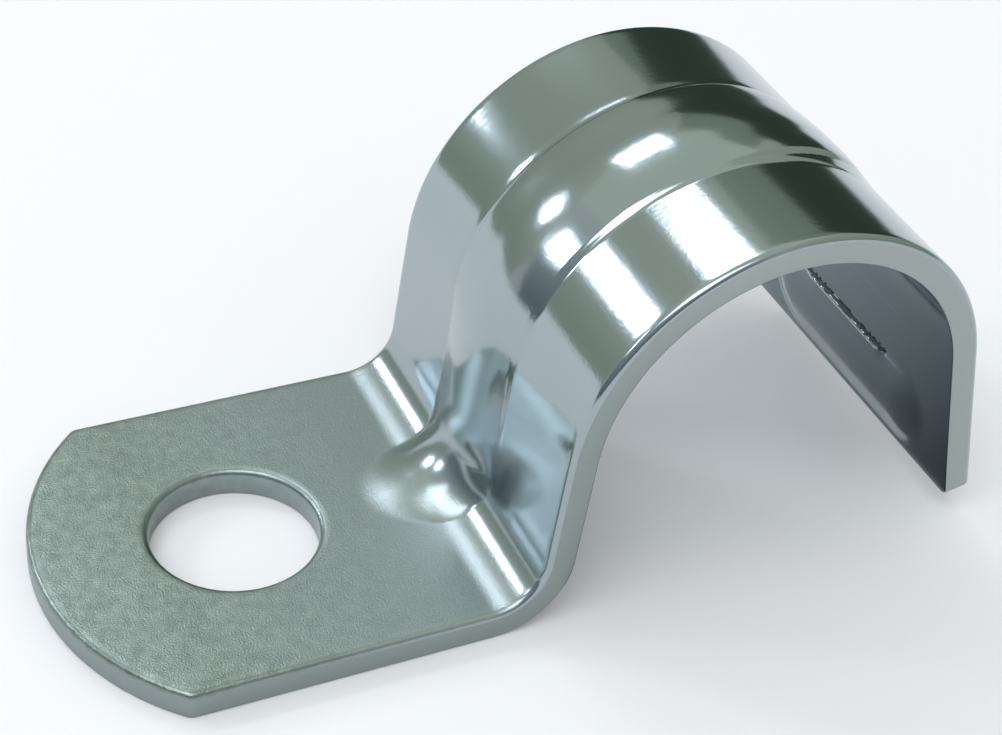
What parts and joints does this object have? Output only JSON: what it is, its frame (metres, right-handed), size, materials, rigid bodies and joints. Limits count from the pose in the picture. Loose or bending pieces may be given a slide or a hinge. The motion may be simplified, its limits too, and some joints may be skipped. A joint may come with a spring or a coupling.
{
  "type": "conduit strap",
  "caption": "Screw-down strap pressed from one sheet: a flat foot with a screw hole, a ribbed saddle over the conduit, and a free leg.",
  "frame": {"origin": "centre of the screw hole on the face of the foot that meets the wall", "axes": "+Z away from the wall, +X from the screw hole to the free leg, Y along the conduit"},
  "size_m": [0.0375, 0.016, 0.0168],
  "materials": {
    "zinc_plated_steel": "bright zinc plating, frosted on the foot and glossy over the saddle"
  },
  "bodies": {
    "root": {"strap": "zinc_plated_steel"}
  },
  "joints": []
}
